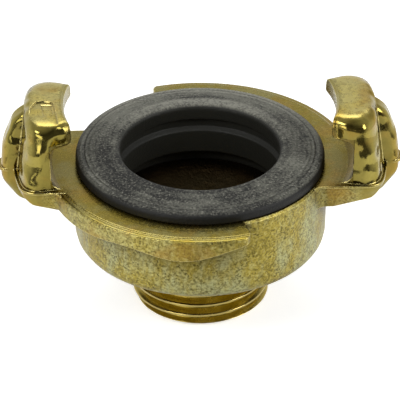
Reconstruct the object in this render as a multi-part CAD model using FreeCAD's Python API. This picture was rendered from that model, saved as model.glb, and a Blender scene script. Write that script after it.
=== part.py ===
import FreeCAD, Part
import math
import os
from FreeCAD import Vector

# One half of a claw coupling with a male pipe thread, in millimetres.
# The origin is the middle of the spigot's end face, +Z points to the coupling face,
# and the two claws stand on the X axis. The body is a brass hot forging, machined on
# the spigot, the face, the seal seat and the hooks' inner faces. The only other piece
# is the rubber ring in the seat. The body repeats after half a turn about Z, except
# for the pad on one claw.

# Spigot: the thread's major cylinder stands for the G 1/2 thread
thread_major_radius = 20.955 / 2
thread_root_radius = 18.631 / 2
spigot_length = 10.6
end_chamfer = 0.8
relief_width = 1.6
waterway_radius = 7.2
waterway_chamfer = 0.5

# Cup, with the seal seat in it: an undercut behind a lip holds the ring
cup_height = 13.3
seat_radius = 17.7
cup_wall = 1.7
cup_draft = 0.25
cup_corner_radius = 2.0
cup_corner_facets = 4
cup_rim_round = 0.3
floor_thickness = 4.9
floor_ring_width = 5.2
funnel_depth = 2.6
lip_width = 0.8
lip_height = 2.0

# Sealing ring. Its rib is the inner bead above the waterway.
ring_flange_overlap = 2.0
ring_flange_thickness = 1.75
ring_flange_round = 0.55
ring_flange_edge = 0.25
ring_width = 5.7
ring_bore_round = 0.5
ring_bore_taper = 0.25
ring_dome = 0.7
ring_groove_depth = 0.8
ring_groove_drop = 3.4
ring_groove_width = 1.6
ring_groove_flank = 0.45
ring_rib_depth = 0.5
ring_rib_foot = 2.25
ring_rib_flank = 0.8

# Cam ramps, with angles in degrees from the middle of each ramp's claw
ramp_width = 4.0
ramp_end_angle = 107.3
ramp_end_round = 1.6
ramp_edge_round = 0.35
ramp_bevel_width = 0.85
ramp_bevel_drop = 0.15
ramp_bevel_slope = 0.2
ramp_underside_draft = 0.35
ramp_root_thickness = 2.9
ramp_angles = (-8, 20, 44, 62, 81, 97, 107.3, 116)
# Thickness at each of those angles, as a share of that at the root
ramp_shares = (1.0, 1.0, 1.007, 0.88, 1.235, 0.742, 0.397, 0.276)

# Claws. Half widths are those at the post's inner radius.
claw_height = 10.4
claw_half_width = 8.6
claw_top_half_width = 8.3
claw_flare = 0.2
claw_top_flare = 0.38
claw_back_lean = 1.4
claw_corner_round = 2.6
claw_top_corner_round = 3.1
claw_corner_facets = 6
claw_crown_height = 1.6
claw_crown_width = 1.5
claw_end_round = 2.0
claw_crown_facets = 4
claw_sink = 0.4
ramp_clearance = 0.6
post_thickness = 3.85
post_foot_round = 1.7
hook_overlap = 2.85
hook_gap = 6.75
hook_root_round = 1.1
hook_tip_rise = 0.45
hook_tip_round = 0.7
hook_chamfer = 0.35

# The stepped pad on top of one claw: its outline seen from above, with the distances
# from the origin along -X and -Y, and the smaller bare field sunk in it
pad_step = 0.22
pad_outline = ((25.7, 4.0), (25.5, 1.4), (24.7, -0.25), (23.6, -0.5), (22.5, -0.3), (22.05, 0.15),
               (21.75, 1.9), (21.5, 4.0), (21.3, 6.0), (19.0, 12.0), (27.5, 12.0), (27.0, 6.5))
field_depth = 0.14
field_outline = ((23.95, 0.25), (22.3, 0.35), (22.0, 3.1), (23.45, 3.7))

# Lugs: the mass that carries each claw on the cup's wall
lug_half_width = 8.75
lug_foot_half_width = 8.0
lug_margin = 0.2
lug_corner_round = 2.6
lug_belly_round = 1.5
lug_lip_round = 0.8
lug_root_drop = 4.1
lug_root_land = 0.4
lug_tip_drop = 2.5
lug_tip_inset = 2.3
lug_lip_drop = 1.0
lug_lip_inset = 0.6
web_round = 2.0
web_facets = 4

# The parting line: a thin ridge of flash round each claw at the face's height
flash_reach = 0.28
flash_thickness = 0.34

# Outer rib along the middle of each claw, from the top to the cup's wall.
# Its outline's points are given from the claw's top or from the face.
rib_depth = 2.25
rib_half_width = 1.85
rib_edge_round = 1.1
rib_edge_facets = 4
rib_top_drop = 0.65
rib_top_round = 2.0
rib_shoulder_inset = 2.1
rib_shoulder_drop = 2.1
rib_shoulder_round = 3.0
rib_back_inset = 0.4
rib_back_drop = 6.4
rib_back_round = 9.0
rib_heel_drop = 2.0
rib_heel_round = 3.4
rib_belly_inset = 2.8
rib_belly_drop = 5.7
rib_belly_round = 2.4
rib_foot_drop = 8.3
rib_sink = 0.5
rib_root_inset = 0.4

# Small rounds are this many flat facets. Pieces run into each other, and cutters run
# past a surface, by the two lengths.
round_facets = 3
joint_overlap = 1.0
cutter_overrun = 2.0

# Radii and heights worked out from the sizes above
cup_outer_radius = seat_radius + cup_wall
cup_foot_radius = cup_outer_radius - cup_draft
lip_radius = seat_radius - lip_width
ring_flange_radius = lip_radius + ring_flange_overlap
ring_bore_radius = seat_radius - ring_width
ramp_radius = cup_outer_radius + ramp_width
post_inner_radius = ramp_radius + ramp_clearance
hook_inner_radius = ramp_radius - hook_overlap
claw_outer_radius = post_inner_radius + post_thickness
claw_top_radius = claw_outer_radius - claw_back_lean
lug_outer_radius = claw_outer_radius + lug_margin
rib_reach = lug_outer_radius + rib_depth
face_z = spigot_length + cup_height
floor_z = spigot_length + floor_thickness
claw_top_z = face_z + claw_height
hook_z = face_z + hook_gap
lug_foot_z = face_z - lug_root_drop
low_claw_z = face_z - claw_sink
# The lugs' ends start at this distance along X, inside the cup's wall
wall_x = math.sqrt(seat_radius ** 2 - lug_half_width ** 2)
# The back's lean carries on into the crown's first level
claw_crown_lean = claw_back_lean * claw_crown_height / (claw_height + claw_sink)


def polar(radius, degrees, z):
    angle = math.radians(degrees)
    return Vector(radius * math.cos(angle), radius * math.sin(angle), z)


def outline(corners):
    """A closed wire in the XZ plane through (radius, height, round, facets) corners.

    A corner with a round becomes an arc that is tangent to its two sides, or, where
    facets are given, that many short straight sides along the same arc.
    """
    points = [Vector(c[0], 0, c[1]) for c in corners]
    rounds = [c[2] if len(c) > 2 else 0.0 for c in corners]
    facets = [c[3] if len(c) > 3 else 0 for c in corners]
    runs = []
    for i, here in enumerate(points):
        back = (points[i - 1] - here).normalize()
        ahead = (points[(i + 1) % len(points)] - here).normalize()
        half = back.getAngle(ahead) / 2
        middle = (back + ahead).normalize()
        centre = here + middle * (rounds[i] / math.sin(half))
        start = here + back * (rounds[i] / math.tan(half))
        end = here + ahead * (rounds[i] / math.tan(half))
        if rounds[i] == 0:
            runs.append([here])
        elif facets[i] == 0:
            runs.append([start, centre - middle * rounds[i], end])
        else:
            sweep = math.pi - 2 * half
            across = (end - start).normalize()
            steps = [sweep * (k / facets[i] - 0.5) for k in range(facets[i] + 1)]
            runs.append([centre - middle * (rounds[i] * math.cos(t))
                         + across * (rounds[i] * math.sin(t)) for t in steps])
    edges = []
    for i, run in enumerate(runs):
        if rounds[i] > 0 and facets[i] == 0:
            edges.append(Part.Arc(*run).toShape())
        else:
            for near, far in zip(run, run[1:]):
                edges.append(Part.LineSegment(near, far).toShape())
        following = runs[(i + 1) % len(runs)][0]
        if following.distanceToPoint(run[-1]) > 1e-6:
            edges.append(Part.LineSegment(run[-1], following).toShape())
    return Part.Wire(edges)


def revolved(corners, sweep=360.0):
    """Turn a closed outline of (radius, height, round) corners about the Z axis."""
    face = Part.Face(outline(corners))
    return face.revolve(Vector(0, 0, 0), Vector(0, 0, 1), sweep)


def both_sides(shape):
    """The shape and its copy after half a turn about Z."""
    other = shape.copy()
    other.rotate(Vector(0, 0, 0), Vector(0, 0, 1), 180)
    return [shape, other]


def cup_and_spigot():
    """The turned outside of the cup and of the spigot below it, still solid."""
    relief_z = spigot_length - relief_width
    relief_step = thread_major_radius - thread_root_radius
    return revolved([
        (0, 0),
        (thread_major_radius - end_chamfer, 0),
        (thread_major_radius, end_chamfer),
        (thread_major_radius, relief_z - relief_step),
        (thread_root_radius, relief_z),
        (thread_root_radius, spigot_length),
        (cup_foot_radius, spigot_length, cup_corner_radius, cup_corner_facets),
        (cup_outer_radius, face_z, cup_rim_round, 1),
        (0, face_z),
    ])


def inside():
    """What the machining takes out: the seal seat, the funnel and the waterway."""
    funnel_radius = seat_radius - floor_ring_width
    lip_z = face_z - lip_height
    return revolved([
        (0, -1),
        (waterway_radius + waterway_chamfer, -1),
        (waterway_radius + waterway_chamfer, 0),
        (waterway_radius, waterway_chamfer),
        (waterway_radius, floor_z - funnel_depth),
        (funnel_radius, floor_z),
        (seat_radius, floor_z),
        (seat_radius, lip_z),
        (lip_radius, lip_z),
        (lip_radius, claw_top_z),
        (0, claw_top_z),
    ])


def upright_edges(shape):
    """The edges that run straight up from one height to another."""
    found = []
    for edge in shape.Edges:
        box = edge.BoundBox
        if box.XLength < 0.01 and box.YLength < 0.01 and box.ZLength > 0.01:
            found.append(edge)
    return found


def underside_cutter():
    """All that lies below the ramp's cam surface, which rises and falls along it."""
    near_radius = seat_radius - joint_overlap
    far_radius = ramp_radius + cutter_overrun
    draft_per_mm = ramp_underside_draft / (ramp_radius - cup_outer_radius)
    curves = []
    for radius in (near_radius, far_radius):
        drop = draft_per_mm * (ramp_radius - radius)
        points = [polar(radius, angle, face_z - share * ramp_root_thickness - drop)
                  for angle, share in zip(ramp_angles, ramp_shares)]
        curve = Part.BSplineCurve()
        curve.interpolate(points)
        curves.append(curve.toShape())
    cam = Part.makeRuledSurface(curves[0], curves[1])
    return cam.extrude(Vector(0, 0, -cup_height))


def ramp():
    """One cam ramp, from inside its claw round to its rounded free end."""
    root = cup_outer_radius - joint_overlap
    low_z = face_z - cup_height / 2
    band = revolved([
        (root, low_z),
        (ramp_radius, low_z),
        (ramp_radius, face_z),
        (root, face_z),
    ], ramp_end_angle)
    corner_x = polar(ramp_radius, ramp_end_angle, 0).x
    corner = [e for e in upright_edges(band) if abs(e.BoundBox.Center.x - corner_x) < 0.01]
    band = band.makeFillet(ramp_end_round, corner)
    bevel_z = face_z - ramp_bevel_drop
    outer_wall = revolved([
        (root, low_z),
        (ramp_radius, low_z),
        (ramp_radius, bevel_z, ramp_edge_round, round_facets),
        (ramp_radius - ramp_bevel_width, bevel_z),
        (ramp_radius - ramp_bevel_width - ramp_bevel_slope, face_z),
        (root, face_z),
    ])
    return band.common(outer_wall).cut(underside_cutter())


def claw_section(half_width, radius, corner_round, flare, z):
    """A claw's outline seen from above: flat ends, a round back and round corners.

    The half width is that at the post's inner radius; outwards it grows by the flare.
    Each corner's arc touches the end's line and the back's circle.
    """
    slant = math.hypot(1, flare)
    near = half_width - flare * (post_inner_radius - wall_x)
    offset = half_width - corner_round * slant - flare * post_inner_radius
    # Corner centre: y = offset + flare * x, at radius - corner_round from the axis
    a = 1 + flare ** 2
    b = flare * offset
    c = offset ** 2 - (radius - corner_round) ** 2
    x = (-b + math.sqrt(b * b - a * c)) / a
    centre = Vector(x, offset + flare * x, z)
    normal = Vector(-flare, 1, 0) / slant
    outward = Vector(centre.x, centre.y, 0).normalize()
    turn = normal.getAngle(outward)
    one_side = [Vector(wall_x, near, z)]
    for k in range(claw_corner_facets + 1):
        angle = turn * k / claw_corner_facets
        sideways = normal * math.sin(turn - angle) + outward * math.sin(angle)
        one_side.append(centre + sideways * (corner_round / math.sin(turn)))
    other_side = [Vector(v.x, -v.y, v.z) for v in reversed(one_side)]
    edges = []
    for side in (one_side, other_side):
        for start, end in zip(side, side[1:]):
            edges.append(Part.LineSegment(start, end).toShape())
    edges.append(Part.Arc(one_side[-1], Vector(radius, 0, z), other_side[0]).toShape())
    edges.append(Part.LineSegment(other_side[-1], one_side[0]).toShape())
    return Part.Wire(Part.__sortEdges__(edges))


def claw_blank():
    """A claw before the lathe: it leans in with height and rounds over at the top."""
    shoulder_z = claw_top_z - claw_crown_height
    levels = [(claw_half_width, claw_outer_radius, claw_corner_round, claw_flare, low_claw_z)]
    for k in range(claw_crown_facets + 1):
        angle = math.pi / 2 * k / claw_crown_facets
        levels.append((
            claw_top_half_width - claw_end_round * (1 - math.cos(angle)),
            claw_top_radius - claw_crown_width * (1 - math.cos(angle)) + claw_crown_lean,
            claw_top_corner_round,
            claw_top_flare,
            shoulder_z + claw_crown_height * math.sin(angle),
        ))
    return Part.makeLoft([claw_section(*level) for level in levels], True, True)


def horn():
    """The post and the hook of one claw, above the face."""
    foot = post_inner_radius - post_foot_round - joint_overlap
    over_z = claw_top_z + cutter_overrun
    inner = revolved([
        (hook_inner_radius / 2, low_claw_z),
        (foot, low_claw_z),
        (foot, face_z),
        (post_inner_radius, face_z, post_foot_round, round_facets),
        (post_inner_radius, hook_z, hook_root_round, round_facets),
        (hook_inner_radius, hook_z + hook_tip_rise, hook_tip_round, 2),
        (hook_inner_radius, claw_top_z - hook_chamfer),
        (hook_inner_radius + hook_chamfer, claw_top_z),
        (hook_inner_radius + hook_chamfer, over_z),
        (hook_inner_radius / 2, over_z),
    ])
    return claw_blank().cut(inner)


def prism(points, depth):
    """A cutter with an upright outline that reaches down into the claw's top."""
    corners = [Vector(-x, -y, claw_top_z - depth) for x, y in points]
    face = Part.Face(Part.makePolygon(corners + corners[:1]))
    return face.extrude(Vector(0, 0, depth + cutter_overrun))


def pad():
    """What the pad and its bare field take off the top of the claw on the -X side."""
    return prism(pad_outline, pad_step).fuse(prism(field_outline, pad_step + field_depth))


def lug():
    """The mass under each claw, between the cup's wall and the claw's back."""
    contour = outline([
        (wall_x, face_z),
        (wall_x, lug_foot_z),
        (cup_outer_radius + lug_root_land, lug_foot_z),
        (claw_outer_radius - lug_tip_inset, face_z - lug_tip_drop, lug_belly_round, round_facets),
        (claw_outer_radius - lug_lip_inset, face_z - lug_lip_drop, lug_lip_round, 1),
        (lug_outer_radius, face_z),
    ])
    face = Part.Face(contour)
    face.translate(Vector(0, -lug_outer_radius / 2, 0))
    shape = (lug_outer_radius, lug_corner_round, 0.0)
    blank = Part.makeLoft([claw_section(lug_foot_half_width, *shape, lug_foot_z),
                           claw_section(lug_half_width, *shape, face_z)], True, True)
    return face.extrude(Vector(0, lug_outer_radius, 0)).common(blank)


def web_section(wall_radius, z):
    """The corner between a lug's end and a round wall, filled in by a hollow arc."""
    up = (z - lug_foot_z) / lug_root_drop
    half_width = lug_foot_half_width + (lug_half_width - lug_foot_half_width) * up
    y = half_width + web_round
    centre = Vector(math.sqrt((wall_radius + web_round) ** 2 - y ** 2), y, z)
    turn = math.atan2(centre.x, centre.y)
    corners = []
    for k in range(web_facets + 1):
        angle = turn * k / web_facets
        corners.append(centre - Vector(math.sin(angle), math.cos(angle), 0) * web_round)
    corners.append(Vector(corners[-1].x, half_width - joint_overlap, z))
    return Part.makePolygon(corners + corners[:1])


def webs():
    """The hollow blends beside one lug, into the cup's wall and into the ramp."""
    up = (cup_height - lug_root_drop) / cup_height
    low_radius = cup_foot_radius + cup_draft * up
    cup_web = Part.makeLoft([web_section(low_radius, lug_foot_z),
                             web_section(cup_outer_radius, face_z)], True, True)
    opposite = cup_web.mirror(Vector(0, 0, 0), Vector(0, 1, 0))
    ramp_web = Part.makeLoft([web_section(ramp_radius, face_z - ramp_root_thickness),
                              web_section(ramp_radius, face_z - ramp_bevel_drop)], True, True)
    return [cup_web, opposite, ramp_web]


def flash():
    """The ridge that the two die halves leave round a claw and its rib."""
    low_z = face_z - flash_thickness
    plan = (lug_half_width + flash_reach, lug_outer_radius + flash_reach, lug_corner_round, 0.0)
    plate = Part.makeLoft([claw_section(*plan, low_z), claw_section(*plan, face_z)], True, True)
    tongue = Part.makeBox(rib_reach + flash_reach - post_inner_radius, 2 * rib_half_width,
                          flash_thickness, Vector(post_inner_radius, -rib_half_width, low_z))
    tips = [e for e in upright_edges(tongue) if e.BoundBox.XMin > rib_reach]
    tongue = tongue.makeFillet(rib_edge_round, tips)
    return plate.fuse(tongue)


def inset(corners, distance):
    """The outline with every side moved inwards, for corners given clockwise."""
    moved = []
    for i, corner in enumerate(corners):
        here = Vector(corner[0], 0, corner[1])
        before = corners[i - 1]
        after = corners[(i + 1) % len(corners)]
        along_in = (here - Vector(before[0], 0, before[1])).normalize()
        along_out = (Vector(after[0], 0, after[1]) - here).normalize()
        normal_in = Vector(along_in.z, 0, -along_in.x)
        normal_out = Vector(along_out.z, 0, -along_out.x)
        shift = (normal_in + normal_out) * (distance / (1 + normal_in.dot(normal_out)))
        point = here + shift
        if len(corner) > 2:
            moved.append((point.x, point.z, corner[2] - distance, corner[3]))
        else:
            moved.append((point.x, point.z))
    return moved


def rib():
    """The rounded fin that runs down the claw's back and in under it to the cup."""
    hidden = post_inner_radius + rib_root_inset
    contour = [
        (hidden, claw_top_z - rib_top_drop),
        (claw_top_radius, claw_top_z - rib_top_drop, rib_top_round, round_facets),
        (rib_reach - rib_shoulder_inset, claw_top_z - rib_shoulder_drop,
         rib_shoulder_round, round_facets),
        (rib_reach - rib_back_inset, claw_top_z - rib_back_drop,
         rib_back_round, round_facets),
        (rib_reach, face_z - rib_heel_drop, rib_heel_round, round_facets),
        (rib_reach - rib_belly_inset, face_z - rib_belly_drop,
         rib_belly_round, round_facets),
        (seat_radius, face_z - rib_foot_drop),
        (seat_radius, face_z - rib_sink),
        (hidden, face_z - rib_sink),
    ]
    layers = []
    for k in range(rib_edge_facets + 1):
        angle = math.pi / 2 * (1 - k / rib_edge_facets)
        y = rib_half_width - rib_edge_round * (1 - math.sin(angle))
        layers.append((y, rib_edge_round * (1 - math.cos(angle))))
    layers += [(-y, depth) for y, depth in reversed(layers)]
    wires = []
    for y, depth in layers:
        wire = outline(inset(contour, depth))
        wire.translate(Vector(0, y, 0))
        wires.append(wire)
    return Part.makeLoft(wires, True, True)


def coupling_body():
    """The whole brass forging as one solid."""
    outside = cup_and_spigot()
    pieces = []
    for make in (ramp, horn, lug, flash, rib):
        pieces += both_sides(make())
    for web in webs():
        pieces += both_sides(web)
    whole = outside.multiFuse(pieces)
    return whole.cut([inside(), pad()]).removeSplitter()


def sealing_ring():
    """The rubber ring: a flange on the face, a neck through the lip and a seat bead."""
    flange_z = face_z + ring_flange_thickness
    top_z = flange_z + ring_dome
    lip_z = face_z - lip_height
    groove_radius = ring_bore_radius + ring_groove_depth
    groove_top = top_z - ring_groove_drop
    groove_foot = groove_top - ring_groove_width
    rib_foot = floor_z + ring_rib_foot
    return revolved([
        (groove_radius, floor_z),
        (seat_radius, floor_z),
        (seat_radius, lip_z),
        (lip_radius, lip_z),
        (lip_radius, face_z),
        (ring_flange_radius, face_z, ring_flange_edge, 1),
        (ring_flange_radius, flange_z, ring_flange_round, 2),
        (ring_bore_radius, top_z, ring_bore_round, 2),
        (ring_bore_radius + ring_bore_taper, groove_top),
        (groove_radius, groove_top - ring_groove_flank),
        (groove_radius, groove_foot),
        (groove_radius - ring_rib_depth, groove_foot - ring_groove_flank),
        (groove_radius - ring_rib_depth, rib_foot),
        (groove_radius, rib_foot - ring_rib_flank),
    ])


os.makedirs("parts", exist_ok=True)
nodes = {"coupling_body": coupling_body(), "sealing_ring": sealing_ring()}
for name, shape in nodes.items():
    solid = shape.Solids[0]
    print(name, "solids", len(shape.Solids), "volume", round(solid.Volume, 1), "valid", solid.isValid())
    shape.exportStep("parts/" + name + ".step")
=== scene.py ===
# %% [markdown]
# # A claw coupling half, dressed in Blender
#
# The real object is one brass forging with two hooked claws and two cam ramps,
# a pipe thread turned on its spigot, and a rubber ring pressed into its cup.
# The CAD model gives every size. This lesson adds what CAD leaves out: the
# cut thread, the skin of a forging, turned bands, and worn rubber.

# %% The frame
import math
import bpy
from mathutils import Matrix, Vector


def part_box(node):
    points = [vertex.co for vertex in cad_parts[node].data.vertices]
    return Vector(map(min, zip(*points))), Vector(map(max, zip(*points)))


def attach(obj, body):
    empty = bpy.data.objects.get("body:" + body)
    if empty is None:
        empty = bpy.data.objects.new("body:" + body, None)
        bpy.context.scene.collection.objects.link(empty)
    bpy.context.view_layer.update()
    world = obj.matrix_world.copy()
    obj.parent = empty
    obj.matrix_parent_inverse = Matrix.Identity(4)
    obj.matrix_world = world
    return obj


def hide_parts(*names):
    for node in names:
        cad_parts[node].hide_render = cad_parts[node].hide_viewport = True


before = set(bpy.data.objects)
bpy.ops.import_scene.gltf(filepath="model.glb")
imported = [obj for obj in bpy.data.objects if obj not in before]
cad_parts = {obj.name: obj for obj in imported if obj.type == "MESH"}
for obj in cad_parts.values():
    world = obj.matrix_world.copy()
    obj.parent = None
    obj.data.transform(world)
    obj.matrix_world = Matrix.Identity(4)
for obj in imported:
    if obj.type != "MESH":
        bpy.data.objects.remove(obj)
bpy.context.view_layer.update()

from types import SimpleNamespace

import bmesh
import bpy
import numpy as np
from mathutils import Matrix, Vector

MM = 0.001
print("CAD nodes:", sorted(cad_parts))

# %% [markdown]
# ## Helpers for the materials
#
# Colours are picked as sRGB hex values, as a painter sees them, and Blender
# works in linear light, so one function turns one into the other. A second
# function adds any shader node with its settings and its links in one line,
# which keeps the materials readable. Two more begin and finish a material.

# %% Colours and nodes
def linear(hex_colour):
    """sRGB to linear: c/12.92 below 0.04045, else ((c+0.055)/1.055)^2.4."""
    values = []
    for i in (1, 3, 5):
        c = int(hex_colour[i:i + 2], 16) / 255
        values.append(c / 12.92 if c <= 0.04045 else ((c + 0.055) / 1.055) ** 2.4)
    return (*values, 1.0)


def add(tree, kind, *values, inputs=None, **settings):
    """Add one node with its settings and links; a kind in capitals is a Math operation.

    The values fill the inputs in order, and inputs fills them by name or number. Each is
    a number, a colour, an output, or a node, which stands for its first output.
    """
    if kind.isupper():
        kind, settings["operation"] = "Math", kind
    node = tree.nodes.new("ShaderNode" + kind)
    for name, value in settings.items():
        setattr(node, name, value)
    for name, value in [*enumerate(values), *(inputs or {}).items()]:
        if isinstance(value, bpy.types.Node):
            value = value.outputs[0]
        if isinstance(value, bpy.types.NodeSocket):
            tree.links.new(value, node.inputs[name])
        else:
            node.inputs[name].default_value = value
    return node


def new_material(name):
    """An empty node material and its tree."""
    material = bpy.data.materials.new(name)
    material.use_nodes = True
    material.node_tree.nodes.clear()
    return material, material.node_tree


def finished(material, inputs):
    """Give the material its shader and its output."""
    tree = material.node_tree
    add(tree, "OutputMaterial", add(tree, "BsdfPrincipled", inputs=inputs))
    print(material.name, len(tree.nodes), "nodes")
    return material


# %% [markdown]
# ## Surfaces from arrays
#
# Turned parts are grids: one parameter runs round the axis and the other along
# the profile. The whole grid is worked out at once with numpy and handed to
# Blender as one mesh. The profile is a closed loop, so there are no open ends.

# %% A closed grid as a mesh
def grid_mesh(name, points):
    """points[i, j] closes in both directions; each cell becomes one quad."""
    rows, columns = points.shape[:2]
    i, j = np.meshgrid(np.arange(rows), np.arange(columns), indexing="ij")
    here = i * columns + j
    right = i * columns + (j + 1) % columns
    up = ((i + 1) % rows) * columns + j
    across = ((i + 1) % rows) * columns + (j + 1) % columns
    faces = np.stack([here, right, across, up], -1).reshape(-1, 4)
    mesh = bpy.data.meshes.new(name)
    mesh.from_pydata(points.reshape(-1, 3).tolist(), [], faces.tolist())
    work = bmesh.new()
    work.from_mesh(mesh)
    bmesh.ops.remove_doubles(work, verts=work.verts, dist=1e-7)
    bmesh.ops.recalc_face_normals(work, faces=work.faces)
    work.to_mesh(mesh)
    work.free()
    mesh.shade_smooth()
    piece = bpy.data.objects.new(name, mesh)
    bpy.context.scene.collection.objects.link(piece)
    print(name, len(mesh.vertices), "vertices")
    return piece


def turned(name, radius, height, angle):
    """x = radius * cos(angle), y = radius * sin(angle) and z = height, in mm."""
    points = np.stack([radius * np.cos(angle), radius * np.sin(angle), height], -1)
    return grid_mesh(name, points * MM)


def along(corners, step):
    """Points every `step` mm along a closed loop of (radius, height) corners."""
    corners = np.array(corners, float)
    following = np.roll(corners, -1, 0)
    runs = []
    for a, b in zip(corners, following):
        count = max(1, int(np.ceil(np.linalg.norm(b - a) / step)))
        t = np.arange(count)[:, None] / count
        runs.append(a + (b - a) * t)
    return np.concatenate(runs)


def rounded(corners, arc_points=7):
    """Replace each (radius, height, round) corner by an arc tangent to its sides."""
    out = []
    for i, corner in enumerate(corners):
        here = np.array(corner[:2], float)
        size = corner[2] if len(corner) > 2 else 0
        if not size:
            out.append(here)
            continue
        a = np.array(corners[i - 1][:2]) - here
        b = np.array(corners[(i + 1) % len(corners)][:2]) - here
        a, b = a / np.linalg.norm(a), b / np.linalg.norm(b)
        half = math.acos(np.clip(a @ b, -1, 1)) / 2
        centre = here + (a + b) / np.linalg.norm(a + b) * size / math.sin(half)
        start = here + a * size / math.tan(half) - centre
        end = here + b * size / math.tan(half) - centre
        t = np.linspace(0, 1, arc_points)[:, None]
        arc = start * (1 - t) + end * t
        arc = arc / np.linalg.norm(arc, axis=1)[:, None] * size
        out.extend(centre + arc)
    return out


# %% [markdown]
# ## The pipe thread
#
# On the real fitting the thread is cut on a lathe: a V tool with a rounded tip
# runs along the turning spigot. Its radius is therefore a function of the
# height less the lead of the turn, and repeats each pitch. A screw modifier
# could sweep it too, but a grid lets the chamfer and the relief cut it cleanly.

# %% The threaded spigot
SPIGOT = 10.6
PITCH = 1.814
CREST = 20.955 / 2
ROOT = 18.631 / 2
BORE = 7.2
END_CHAMFER, CHAMFER_SLOPE = 1.05, 1.25
RELIEF_FOOT, RELIEF_SLOPE = 9.0, 1.6
BORE_CHAMFER = (0.4, 0.45)
THREAD_START = 0.58
ROUND_STEPS, HEIGHT_STEP = 256, 0.053
ROOT_WIDTH, FLANK_WIDTH = 0.14, 0.72
ROUNDNESS = 0.35
RUBBED_CREST = 10.35


def thread_radius(angle, height):
    """Radius of a right-handed thread: a rounded triangle wave of (height - pitch * turns)."""
    phase = (height - PITCH * angle / (2 * np.pi)) / PITCH + THREAD_START
    wave = np.abs((phase % 1.0) * 2 - 1)
    flank = np.clip((wave - ROOT_WIDTH) / FLANK_WIDTH, 0, 1)
    soft = flank * flank * (3 - 2 * flank)
    return ROOT + (CREST - ROOT) * (soft * ROUNDNESS + flank * (1 - ROUNDNESS))


def threaded_spigot():
    """radius = least of thread, end chamfer and relief; the bore and the ends close it."""
    angle = np.linspace(0, 2 * np.pi, ROUND_STEPS, endpoint=False)[None, :]
    height = np.arange(0, SPIGOT + 1e-6, HEIGHT_STEP)[:, None]
    chamfer = CREST - END_CHAMFER + height * CHAMFER_SLOPE
    relief = ROOT + np.clip((RELIEF_FOOT - height) * RELIEF_SLOPE, 0, 9)
    outside = np.minimum(np.minimum(thread_radius(angle, height), chamfer), relief)
    flat = outside[:1] * 0
    wide, deep = BORE_CHAMFER
    inner = [(BORE, SPIGOT), (BORE, deep), (BORE + wide, 0.0)]
    radius = np.concatenate([outside] + [flat + r for r, _ in inner])
    heights = np.concatenate([height + flat] + [flat + z for _, z in inner])
    return turned("threaded_spigot", radius, heights, angle)


spigot = threaded_spigot()
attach(spigot, "root")

# %% [markdown]
# ## The forging above the thread
#
# The claws, the ramps and the cup come straight from the CAD, where they are
# true solids. The plain cylinder that stands for the thread has to go, so a
# copy of the mesh is merged, cut at the top of the spigot and closed again.

# %% The forged body
SHARP_EDGE = math.radians(32)
OVERLAP = 0.02


def forged_body():
    """A merged copy of the CAD body, cut off where the turned spigot begins."""
    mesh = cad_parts["coupling_body"].data.copy()
    mesh.name = "forged_body"
    work = bmesh.new()
    work.from_mesh(mesh)
    bmesh.ops.remove_doubles(work, verts=work.verts, dist=2e-6)
    cut = bmesh.ops.bisect_plane(
        work, geom=work.verts[:] + work.edges[:] + work.faces[:], dist=1e-7,
        plane_co=(0, 0, (SPIGOT - OVERLAP) * MM), plane_no=(0, 0, 1), clear_inner=True)
    rim = [e for e in cut["geom_cut"] if isinstance(e, bmesh.types.BMEdge)]
    bmesh.ops.triangle_fill(work, edges=rim, use_beauty=True)
    bmesh.ops.recalc_face_normals(work, faces=work.faces)
    for face in work.faces:
        face.smooth = True
    for edge in work.edges:
        if len(edge.link_faces) == 2 and edge.calc_face_angle(0) > SHARP_EDGE:
            edge.smooth = False
    work.to_mesh(mesh)
    open_edges = sum(1 for e in work.edges if len(e.link_faces) != 2)
    work.free()
    mesh.materials.clear()
    piece = bpy.data.objects.new("forged_body", mesh)
    bpy.context.scene.collection.objects.link(piece)
    print("forged_body", len(mesh.polygons), "faces,", open_edges, "open edges")
    return piece


body = forged_body()
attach(body, "root")
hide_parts("coupling_body")
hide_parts("coupling_body")

# %% [markdown]
# ## The rubber ring
#
# A moulded ring is a turned shape as well. Its profile is one closed loop:
# lip, flange, gently domed top, rounded bore, and the grooves inside the bore
# that let it give. A small wave in height keeps it from looking machined.

# %% The sealing ring
RING_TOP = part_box("sealing_ring")[1].z / MM
RING_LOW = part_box("sealing_ring")[0].z / MM
RING_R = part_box("sealing_ring")[1].x / MM
EDGE_DROP, FLANGE = 0.7, 1.75
PROFILE_STEP, RING_STEPS = 0.22, 240
WAVE, WAVE_FADE = 0.04, 1.2


def sealing_ring():
    """A closed (radius, height) loop turned about Z, with a slow wave in its top."""
    top = RING_TOP
    edge = top - EDGE_DROP
    foot = edge - FLANGE
    corners = rounded([
        (13.7, RING_LOW), (17.7, RING_LOW), (17.7, foot - 2.0), (16.9, foot - 1.9),
        (16.9, foot + 0.02), (RING_R, foot + 0.02, 0.3), (RING_R, edge, 0.9),
        (12.0, top, 0.85), (12.25, top - 2.7, 0.2), (12.9, top - 3.1, 0.2),
        (12.9, top - 4.3, 0.2), (12.2, top - 4.8, 0.3), (12.3, top - 8.6, 0.3),
        (13.5, top - 9.2, 0.2),
    ])
    profile = along(corners, PROFILE_STEP)
    angle = np.linspace(0, 2 * np.pi, RING_STEPS, endpoint=False)[None, :]
    radius = profile[:, :1] + 0 * angle
    height = profile[:, 1:] + 0 * angle
    free = np.clip((height - foot) / WAVE_FADE, 0, 1)
    height = height - free * WAVE * (1 + np.sin(3 * angle + 0.6) * np.cos(angle))
    return turned("worn_ring", radius, height, angle)


ring = sealing_ring()
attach(ring, "root")
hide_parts("sealing_ring")

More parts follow.
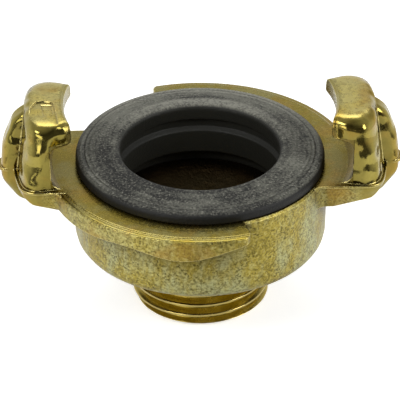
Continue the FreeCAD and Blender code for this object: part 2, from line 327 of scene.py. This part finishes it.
# %% [markdown]
# ## Reading the place on the part
#
# Where the lathe has been, the brass is smooth and ringed; elsewhere it keeps
# the skin of the forging. On the real part that depends only on the place:
# the face, the hooks' inner edges, the seat and the spigot are turned. So the
# material asks for the distance from the axis and the height, both from the
# Object coordinates, and turns them into soft-edged masks. Each pattern is as
# wide as the real thing in millimetres, and colours are laid over each other
# by masks, as a painter does.

# %% Place, masks and layers
def place_on_part(tree):
    """The object coordinates, the distance from the axis and the height."""
    coords = add(tree, "TexCoord").outputs["Object"]
    split = add(tree, "SeparateXYZ", coords)
    flat = add(tree, "CombineXYZ", split.outputs[0], split.outputs[1])
    radius = add(tree, "VectorMath", flat, operation="LENGTH").outputs["Value"]
    return coords, radius, split.outputs[2]


def above(tree, value, limit_mm, soft_mm=0.1):
    """0 below the limit and 1 above it, smoothed over the soft width."""
    low, high = (limit_mm - soft_mm) * MM, (limit_mm + soft_mm) * MM
    return add(tree, "MapRange", value, low, high, interpolation_type="SMOOTHSTEP")


def below(tree, value, limit_mm, soft_mm=0.1):
    """1 below the limit and 0 above it."""
    return add(tree, "SUBTRACT", 1.0, above(tree, value, limit_mm, soft_mm))


def inside_band(tree, value, low_mm, high_mm, soft_mm=0.1):
    """1 between two limits: above the lower one and not above the upper one."""
    return add(tree, "SUBTRACT", above(tree, value, low_mm, soft_mm),
               above(tree, value, high_mm, soft_mm))


def clouds_of(tree, coords, *patterns):
    """One cloudy pattern, 0 to 1, for each (width in mm, detail, roughness)."""
    made = []
    for width_mm, detail, roughness in patterns:
        made.append(add(tree, "TexNoise", inputs={
            "Vector": coords, "Scale": 1 / (width_mm * MM), "Detail": detail,
            "Roughness": roughness}))
    return made


def painted(tree, under, layers):
    """Lay each (mask, colour) over the colour under it; a colour is hex or an output."""
    for mask, over in layers:
        under, over = (linear(c) if isinstance(c, str) else c for c in (under, over))
        under = add(tree, "Mix", inputs={0: mask, 6: under, 7: over},
                    data_type="RGBA").outputs[2]
    return under


def swell(tree, pattern, height_mm):
    """A 0 to 1 pattern as a height about zero, so a mask's border leaves no step."""
    return add(tree, "MULTIPLY", add(tree, "SUBTRACT", pattern, 0.5), height_mm)


def tool_marks(tree, distance, pitch_mm):
    """A height that rises and falls with the distance, as a cutting tool leaves it."""
    return add(tree, "SINE", add(tree, "MULTIPLY", distance, 2 * math.pi / (pitch_mm * MM)))


def edge_wear(tree, width_mm):
    """The rounded normal, and a 0 to 1 mask that is high within width_mm of an edge."""
    soft = add(tree, "Bevel", inputs={"Radius": width_mm * MM}, samples=8)
    normal = add(tree, "NewGeometry").outputs["Normal"]
    same = add(tree, "VectorMath", soft, normal, operation="DOT_PRODUCT").outputs["Value"]
    return soft, add(tree, "MapRange", same, 0.995, 0.90, 0.0, 1.0)


# %% [markdown]
# ## Forged brass
#
# The blank is pressed hot between steel dies and then pickled in acid. That
# gives the eye a satin, greenish gold with darker pits about a third of a
# millimetre wide, a slight orange-peel swell, and warm, burnt patches on the
# ramps and the claws. The claws were worked most: they are smooth, lumpy and
# shiny. Sheltered places, as under the ramps, get painted shade with some
# grime in it. Edges are painted bright, partly as rubbed wear and partly as a
# painted highlight. All of it is bare metal, so the
# shader stays fully metallic and only its colour, roughness and bumps change.
# The Bevel node compares the rounded normal with the real one: where they
# differ there is an edge, and there the wear and the painted highlight go.
# The skin's real grit is finer than the picture shows, so its grain is drawn
# half a millimetre wide, and the lathe's marks are drawn about that far apart
# for the same reason.

# %% Where the brass was worked
# Heights and distances from the axis, in mm
FACE_TOP = 23.9
SEAT_WALL = 17.75
RAMP_INNER = 20.6
HOOK_NOSE = 21.2
POST_WALL = 24.05
HOOK_UNDERSIDE = 31.2
LUG_SIDE, LUG_FOOT = 25.0, 14.0
RIB_FOOT = 29.4


def brass_places(tree, radius, height):
    """Masks, 0 to 1, from the place on the part and from the way that the surface faces."""
    facing = add(tree, "SeparateXYZ", add(tree, "NewGeometry").outputs["Normal"])
    up = facing.outputs[2]
    end_on = add(tree, "MapRange", add(tree, "ABSOLUTE", facing.outputs[1]),
                 0.4, 0.8, 0.0, 1.0)
    above_face = above(tree, height, FACE_TOP + 0.05, 0.05)
    on_face = add(tree, "MULTIPLY",
                  inside_band(tree, height, FACE_TOP - 0.3, FACE_TOP + 0.06, 0.03),
                  add(tree, "MapRange", up, 0.7, 0.95, 0.0, 1.0))
    near_nose = below(tree, radius, HOOK_NOSE, 0.4)
    post = add(tree, "MULTIPLY", below(tree, radius, POST_WALL, 0.04),
               below(tree, height, HOOK_UNDERSIDE))
    inner = add(tree, "MULTIPLY", above_face, add(tree, "MAXIMUM", near_nose, post))
    turned_band = add(tree, "MAXIMUM", on_face, inner)
    lug_side = add(tree, "MULTIPLY", above(tree, radius, LUG_SIDE, 1.5),
                   above(tree, height, LUG_FOOT, 0.5))
    claws = add(tree, "MULTIPLY", add(tree, "MAXIMUM", above_face, lug_side),
                add(tree, "SUBTRACT", 1.0, turned_band))
    skin = add(tree, "SUBTRACT", 1.0, add(tree, "MAXIMUM", turned_band, claws))
    hook_hollow = add(tree, "MULTIPLY", above_face, add(
        tree, "MAXIMUM", post, add(tree, "MULTIPLY", near_nose, end_on)))
    lug = add(tree, "MULTIPLY", lug_side, add(tree, "SUBTRACT", 1.0, above_face))
    return SimpleNamespace(
        turned=turned_band, claws=claws, skin=skin,
        flat_top=add(tree, "MapRange", up, 0.90, 0.985, 0.0, 1.0),
        shaded=add(tree, "MAXIMUM", hook_hollow, add(tree, "MULTIPLY", lug, 0.4)),
        inside=add(tree, "MULTIPLY", below(tree, radius, SEAT_WALL),
                   below(tree, height, FACE_TOP - 0.5)),
        ramps=add(tree, "MULTIPLY", above(tree, radius, RAMP_INNER, 0.3), skin),
        rib=above(tree, radius, RIB_FOOT, 0.5))


def brass_patterns(tree, coords):
    """The forging's patterns: pickling clouds drawn out upright, which also stand as painted
    reflection bands, stains, grain, peel and dents.
    """
    upright = add(tree, "VectorMath", coords, (1.0, 1.0, 0.45), operation="MULTIPLY")
    (bath,) = clouds_of(tree, upright, (6.0, 4.0, 0.65))
    stains, dents, lumps, peel, grain, pits = clouds_of(
        tree, coords, (6.0, 3.0, 0.6), (4.6, 1.0, 0.4), (2.3, 0.0, 0.0),
        (1.5, 2.0, 0.5), (0.48, 4.0, 0.7), (0.34, 2.0, 0.6))
    return SimpleNamespace(bath=bath, stains=stains, dents=dents, lumps=lumps,
                           peel=peel, grain=grain, pits=pits)


# %% The brass finishes
def oxide_specks(tree, at, pattern):
    """Pits and short crooked lines of oxide, thick on the skin and rare where worked."""
    line = add(tree, "ABSOLUTE", add(tree, "SUBTRACT", pattern.peel, 0.5))
    line = add(tree, "MULTIPLY", add(tree, "MapRange", line, 0.0, 0.022, 0.6, 0.0),
               add(tree, "MapRange", pattern.pits, 0.40, 0.52, 0.0, 1.0))
    pit = add(tree, "MULTIPLY", add(tree, "MapRange", pattern.pits, 0.50, 0.62, 0.0, 0.8),
              add(tree, "MapRange", pattern.peel, 0.35, 0.60, 0.3, 1.0))
    return add(tree, "MULTIPLY", add(tree, "MAXIMUM", pit, line),
               add(tree, "MapRange", at.skin, 0.0, 1.0, 0.1, 1.0))


def brass_colour(tree, at, pattern, specks, edge):
    """From the skin up: claws, mottling, oxide, painted shade with grime, turned gold, burns,
    edges of wear and painted highlight.
    """
    polished = add(tree, "MULTIPLY", at.claws,
                   add(tree, "MapRange", at.flat_top, 0.0, 1.0, 0.85, 0.0))
    mottled = add(tree, "MULTIPLY", add(tree, "MapRange", pattern.grain, 0.40, 0.52, 0.6, 0.0),
                  add(tree, "MapRange", at.skin, 0.0, 1.0, 0.3, 1.0))
    mottled = add(tree, "MULTIPLY", mottled, add(tree, "SUBTRACT", 1.0, at.turned))
    light = add(tree, "MULTIPLY", at.skin,
                add(tree, "MapRange", pattern.grain, 0.54, 0.64, 0.0, 0.55))
    # painted shade: sheltered places darken with ambient occlusion, with some grime
    shelter = add(tree, "AmbientOcclusion", inputs={"Distance": 7.0 * MM}, samples=8)
    grime = add(tree, "MULTIPLY",
                add(tree, "MapRange", shelter.outputs["AO"], 0.72, 0.96, 1.0, 0.0),
                add(tree, "MapRange", at.skin, 0.0, 1.0, 0.5, 1.0))
    burnt = add(tree, "MAXIMUM", add(tree, "MULTIPLY", at.rib, 0.4),
                add(tree, "MapRange", pattern.stains, 0.50, 0.64, 0.0, 0.4))
    hot = add(tree, "MAXIMUM", at.ramps, add(tree, "MAXIMUM", at.turned, at.claws))
    return painted(tree, "#AE9D48", [
        # pale greenish patches: pickling, and upright bands of painted reflection
        (add(tree, "MapRange", pattern.bath, 0.43, 0.57, 0.0, 1.0), "#B4B483"),
        (add(tree, "MULTIPLY", at.ramps, 0.6), "#B2A04E"),
        (add(tree, "MULTIPLY", at.claws, 0.7), "#BFAD5D"),
        (polished, "#948740"),
        (add(tree, "MapRange", pattern.stains, 0.54, 0.68, 0.0, 0.5), "#A39037"),
        (mottled, "#6E6432"),
        (light, "#CCC584"),
        (specks, "#4F4722"),
        # painted shade with some grime where the surface is sheltered
        (grime, "#40351A"),
        (add(tree, "MULTIPLY", at.turned, 0.65), "#857426"),
        (add(tree, "MULTIPLY", at.shaded, 0.5), "#4E3A17"),
        (add(tree, "MULTIPLY", burnt, hot), "#A88440"),
        (add(tree, "MULTIPLY", at.inside, 0.96), "#2A2013"),
        # edges painted bright: rubbed wear and a painted highlight
        (add(tree, "MULTIPLY", edge, 0.8), "#E0D08A"),
    ])


def brass_roughness(tree, at, pattern, edge):
    """Satin skin, shinier on the claws' sides, on turned bands and on rubbed edges."""
    rough = add(tree, "MapRange", pattern.grain, 0.35, 0.65, 0.28, 0.40)
    polish = add(tree, "MapRange", at.flat_top, 0.0, 1.0, 0.21, 0.04)
    for place, smoother in ((at.claws, polish), (at.turned, 0.08), (edge, 0.06)):
        rough = add(tree, "SUBTRACT", rough, add(tree, "MULTIPLY", place, smoother))
    return rough


def brass_relief(tree, at, pattern, specks, radius):
    """Heights in mm: grain and peel on the skin, dents on the claws, rings where turned."""
    rings = add(tree, "MULTIPLY", tool_marks(tree, radius, 0.62), 0.0011)
    forged = add(tree, "ADD", swell(tree, pattern.grain, 0.11), swell(tree, pattern.peel, 0.12))
    forged = add(tree, "SUBTRACT", forged, add(tree, "MULTIPLY", specks, 0.03))
    beaten = add(tree, "ADD", swell(tree, pattern.lumps, 0.34),
                 swell(tree, pattern.grain, 0.012))
    beaten = add(tree, "ADD", swell(tree, pattern.dents, 1.0), beaten)
    beaten = add(tree, "MULTIPLY", beaten,
                 add(tree, "MapRange", at.flat_top, 0.0, 1.0, 1.0, 0.15))
    relief = add(tree, "MULTIPLY", rings, at.turned)
    for place, height in ((at.skin, forged), (at.claws, beaten)):
        relief = add(tree, "ADD", relief, add(tree, "MULTIPLY", place, height))
    return relief


def forged_brass():
    """Hot-forged, pickled brass with turned bands at the face and the hooks."""
    material, tree = new_material("forged_pickled_brass")
    coords, radius, height = place_on_part(tree)
    rounded_normal, edge = edge_wear(tree, 0.22)
    at = brass_places(tree, radius, height)
    pattern = brass_patterns(tree, coords)
    specks = oxide_specks(tree, at, pattern)
    bump = add(tree, "Bump", inputs={
        "Height": brass_relief(tree, at, pattern, specks, radius),
        "Normal": rounded_normal, "Strength": 1.0, "Distance": MM})
    return finished(material, {
        "Base Color": brass_colour(tree, at, pattern, specks, edge), "Metallic": 1.0,
        "Roughness": brass_roughness(tree, at, pattern, edge), "Normal": bump})


def turned_brass():
    """Cut on the lathe: deeper gold, smooth, with tool marks, and crests painted lighter as
    rubbed wear and a painted highlight.
    """
    material, tree = new_material("turned_brass")
    coords, radius, height = place_on_part(tree)
    patches, fine = clouds_of(tree, coords, (3.0, 3.0, 0.55), (0.3, 3.0, 0.6))
    # crests painted lighter: rubbed wear and a painted highlight
    crest = above(tree, radius, RUBBED_CREST, 0.12)
    colour = painted(tree, "#A5913F", [
        (add(tree, "MapRange", patches, 0.4, 0.62, 0.0, 1.0), "#B8A557"),
        (add(tree, "MULTIPLY", crest, 0.5), "#D9C584")])
    relief = add(tree, "ADD", add(tree, "MULTIPLY", tool_marks(tree, height, 0.46), 0.012),
                 add(tree, "MULTIPLY", fine, 0.003))
    bump = add(tree, "Bump", inputs={"Height": relief, "Strength": 1.0, "Distance": MM})
    return finished(material, {
        "Base Color": colour, "Metallic": 1.0, "Normal": bump,
        "Roughness": add(tree, "MapRange", patches, 0.35, 0.65, 0.2, 0.28)})


body.data.materials.append(forged_brass())
spigot.data.materials.append(turned_brass())

# %% [markdown]
# ## Black rubber
#
# Nitrile rubber with years of lime and dust: grey rather than black, dull on
# top where it is rubbed, with pale specks, streaks that run round it, and a
# dark line where the two halves of the mould met. The dust is thicker towards
# the outer edge. Towards the far side, and most on the far rims, the top is
# painted paler as a painted sheen. In the bore it is clean and darker.

# %% The rubber finish
MOULD_LINE = (17.45, 17.7)
DUST_MIDDLE = 14.7
DUSTY_RIMS = (14.4, 16.9)
CREASES = (16.3, 18.4)
STREAK_TURN = 2.5


def swept_round(tree, coords, radius):
    """Coordinates drawn out along the turn, so that a pattern on them runs round the axis."""
    outward = add(tree, "VectorMath", coords, operation="NORMALIZE")
    turn = add(tree, "VectorMath", outward, (STREAK_TURN * MM, STREAK_TURN * MM, 0),
               operation="MULTIPLY")
    spread = add(tree, "CombineXYZ", inputs={2: radius})
    return add(tree, "VectorMath", turn, spread, operation="ADD")


def dust_on_rubber(tree, coords, radius, patches, fine):
    """How much dust lies in each place, with a painted sheen towards the far side that is
    strongest on the far rims.
    """
    (streaks,) = clouds_of(tree, swept_round(tree, coords, radius), (0.9, 4.0, 0.65))
    # painted sheen: the top grows paler towards the far side
    far = add(tree, "VectorMath", coords, (0.5, 3.4, 0),
              operation="DOT_PRODUCT").outputs["Value"]
    outer = add(tree, "MULTIPLY", add(tree, "SUBTRACT", radius, DUST_MIDDLE * MM), 10.0)
    dust = add(tree, "ADD", far, outer)
    for pattern, share in ((patches, 0.36), (streaks, 0.3), (fine, 0.34)):
        dust = add(tree, "ADD", dust, add(tree, "MULTIPLY", pattern, share))
    rims = add(tree, "SUBTRACT", 1.0, inside_band(tree, radius, *DUSTY_RIMS, 0.4))
    # painted sheen, strongest on the far rims
    thick = add(tree, "MULTIPLY", add(tree, "MapRange", far, 0.01, 0.05, 0.0, 0.68), rims)
    return dust, add(tree, "MULTIPLY", thick,
                     add(tree, "MapRange", fine, 0.40, 0.56, 0.4, 1.0))


def worn_rubber():
    """Nearly black where it is clean; grey, speckled and dull where dust lies on top, with a
    painted sheen towards the far side.
    """
    material, tree = new_material("moulded_nitrile_rubber")
    coords, radius, height = place_on_part(tree)
    patches, fine, flecks = clouds_of(
        tree, coords, (6.0, 4.0, 0.6), (0.36, 3.0, 0.65), (0.3, 3.0, 0.7))
    dust, thick = dust_on_rubber(tree, coords, radius, patches, fine)
    facing = add(tree, "SeparateXYZ", add(tree, "NewGeometry").outputs["Normal"])
    on_top = add(tree, "MULTIPLY",
                 add(tree, "MapRange", facing.outputs[2], 0.55, 0.95, 0.0, 1.0),
                 above(tree, height, FACE_TOP + 1.0, 0.3))
    mould_line = add(tree, "MULTIPLY", inside_band(tree, radius, *MOULD_LINE, 0.12), on_top)
    pale = add(tree, "MULTIPLY", add(tree, "MapRange", flecks, 0.54, 0.64, 0.0, 0.7), on_top)
    pale = add(tree, "MULTIPLY", pale, add(tree, "MapRange", fine, 0.42, 0.58, 0.1, 1.0))
    dusty = painted(tree, "#1A1A17", [
        (add(tree, "MapRange", dust, 0.43, 0.585, 0.0, 1.0), "#6C6C62"),
        (thick, "#9A998D")])
    clean = painted(tree, "#262621", [(above(tree, radius, 14.0, 0.5), "#171715")])
    colour = painted(tree, clean, [
        (on_top, dusty),
        (add(tree, "MULTIPLY", mould_line, 0.55), "#161613"),
        (pale, "#98968A")])
    creases = add(tree, "MULTIPLY", tool_marks(tree, radius, 0.75),
                  inside_band(tree, radius, *CREASES, 0.5))
    creases = add(tree, "MULTIPLY", creases,
                  add(tree, "MapRange", patches, 0.42, 0.58, 0.1, 1.0))
    relief = add(tree, "ADD", add(tree, "MULTIPLY", fine, 0.09),
                 add(tree, "MULTIPLY", creases, 0.08))
    relief = add(tree, "SUBTRACT", relief, add(tree, "MULTIPLY", mould_line, 0.1))
    bump = add(tree, "Bump", inputs={"Height": relief, "Strength": 1.0, "Distance": MM})
    return finished(material, {
        "Base Color": colour, "Specular IOR Level": 0.3, "Normal": bump,
        "Roughness": add(tree, "MapRange", on_top, 0.0, 1.0, 0.5, 0.7)})


ring.data.materials.append(worn_rubber())

# %% [markdown]
# ## The studio
#
# A product photograph on white: the floor is seen as white and still takes the
# object's soft shadow. Bare metal shows the room more than its own colour, so
# the room has to be right: white behind and at the sides, a round sheet of
# white paper underneath, and a darker side where the camera stands. The lamps
# are large panels: two above the camera's left and right, a weak low one at
# the left front, and one above and behind.

# %% The floor
PAPER_RADIUS = 105
SEEN_LIFT = 0.6
FRONT_GLOW, BACK_GLOW = 0.08, 0.42
GLOW_FROM, GLOW_TO = -10, 25
BACKWARDS, TO_THE_RIGHT = 0.5, 0.2


def studio_floor():
    """A round sheet of pale paper, lifted to white for the camera and in reflections."""
    angle = np.linspace(0, 2 * np.pi, 96, endpoint=False)
    rim = np.stack([np.cos(angle), np.sin(angle), 0 * angle], -1) * PAPER_RADIUS * MM
    mesh = bpy.data.meshes.new("studio_floor")
    mesh.from_pydata(rim.tolist(), [], [tuple(range(len(rim)))])
    floor = bpy.data.objects.new("studio_floor", mesh)
    bpy.context.scene.collection.objects.link(floor)
    material, tree = new_material("white_paper")
    ray = add(tree, "LightPath")
    place = add(tree, "SeparateXYZ", add(tree, "TexCoord").outputs["Object"])
    beside = add(tree, "ADD", add(tree, "ABSOLUTE", place.outputs[0]),
                 add(tree, "MULTIPLY", place.outputs[1], BACKWARDS))
    beside = add(tree, "SUBTRACT", beside,
                 add(tree, "MULTIPLY", place.outputs[0], TO_THE_RIGHT))
    glow = add(tree, "MapRange", beside, GLOW_FROM * MM, GLOW_TO * MM, FRONT_GLOW, BACK_GLOW)
    lift = add(tree, "ADD", add(tree, "MULTIPLY", ray.outputs["Is Camera Ray"], SEEN_LIFT),
               add(tree, "MULTIPLY", ray.outputs["Is Glossy Ray"], glow))
    mesh.materials.append(finished(material, {
        "Base Color": linear("#F2F2F0"), "Roughness": 0.9,
        "Emission Color": (1, 1, 1, 1), "Emission Strength": lift}))
    return floor


studio_floor()


# %% The lamps
def panel(name, place_mm, size_mm, power, aim_mm=(0, 0, 16)):
    """A rectangular area lamp that looks at a point."""
    lamp = bpy.data.lights.new(name, "AREA")
    lamp.shape = "RECTANGLE"
    lamp.size, lamp.size_y = size_mm[0] * MM, size_mm[1] * MM
    lamp.energy = power
    spot = bpy.data.objects.new(name, lamp)
    bpy.context.scene.collection.objects.link(spot)
    place, aim = Vector(place_mm) * MM, Vector(aim_mm) * MM
    spot.matrix_world = (aim - place).to_track_quat("-Z", "Y").to_matrix().to_4x4()
    spot.matrix_world.translation = place
    print(name, power, "W")
    return spot


panel("left_panel", (-330, -260, 430), (260, 200), 1.3)
panel("right_panel", (400, -230, 300), (180, 380), 1.5)
panel("low_panel", (-290, -390, 70), (230, 210), 0.45)
panel("back_panel", (0, 300, 520), (420, 260), 1.0)

# %% The room
DARK_SIDE = 0.1
DIM_CEILING = 0.55
DULL_SHARE = 0.5


def studio_room():
    """White for the camera; in reflections bright behind and dark where the camera stands."""
    world = bpy.data.worlds.new("studio")
    bpy.context.scene.world = world
    world.use_nodes = True
    room = world.node_tree
    room.nodes.clear()
    towards = add(room, "SeparateXYZ", add(room, "TexCoord").outputs["Generated"])
    behind = add(room, "MapRange", towards.outputs[1], -0.7, 0.0, DARK_SIDE, 1.0)
    overhead = add(room, "MapRange", towards.outputs[2], 0.1, 0.6, 1.0, DIM_CEILING)
    ray = add(room, "LightPath")
    mirrored = add(room, "MAXIMUM", ray.outputs["Is Glossy Ray"],
                   ray.outputs["Is Transmission Ray"])
    share = add(room, "ADD", DULL_SHARE, add(room, "MULTIPLY", mirrored, 1 - DULL_SHARE))
    light = add(room, "MULTIPLY", add(room, "MULTIPLY", behind, overhead), share)
    light = add(room, "MAXIMUM", light, ray.outputs["Is Camera Ray"])
    around = add(room, "Background", inputs={"Color": (1, 1, 1, 1), "Strength": light})
    add(room, "OutputWorld", around)
    print("room", len(room.nodes), "nodes")


studio_room()
bpy.context.scene.view_settings.view_transform = "Standard"

# %% [markdown]
# ## The camera
#
# The photograph was taken from about half a metre, 32 degrees above the floor,
# with the object turned two degrees. These come from seven circles measured on
# it, whose flatness gives the height and whose sizes give the distance.

# %% The camera
SENSOR = 36.0
FOCAL_WIDTHS = 3331 / 400
TURN, RISE, ROLL = (math.radians(a) for a in (-2.15, 32.2, -0.15))
DISTANCE, AIM_HEIGHT = 510, 16
SHIFT = (-0.0005, 0.006)


def camera():
    """Look at the axis from the measured direction and distance."""
    lens = bpy.data.cameras.new("camera")
    lens.sensor_width = SENSOR
    lens.lens = FOCAL_WIDTHS * SENSOR
    lens.clip_start = 10 * MM
    lens.shift_x, lens.shift_y = SHIFT
    holder = bpy.data.objects.new("camera", lens)
    bpy.context.scene.collection.objects.link(holder)
    back = Vector((math.sin(TURN) * math.cos(RISE), -math.cos(TURN) * math.cos(RISE),
                   math.sin(RISE)))
    look = (-back).to_track_quat("-Z", "Y").to_matrix().to_4x4()
    holder.matrix_world = look @ Matrix.Rotation(ROLL, 4, "Z")
    holder.matrix_world.translation = Vector((0, 0, AIM_HEIGHT * MM)) + back * DISTANCE * MM
    bpy.context.scene.camera = holder
    print("camera", round(lens.lens), "mm lens")
    return holder


camera()
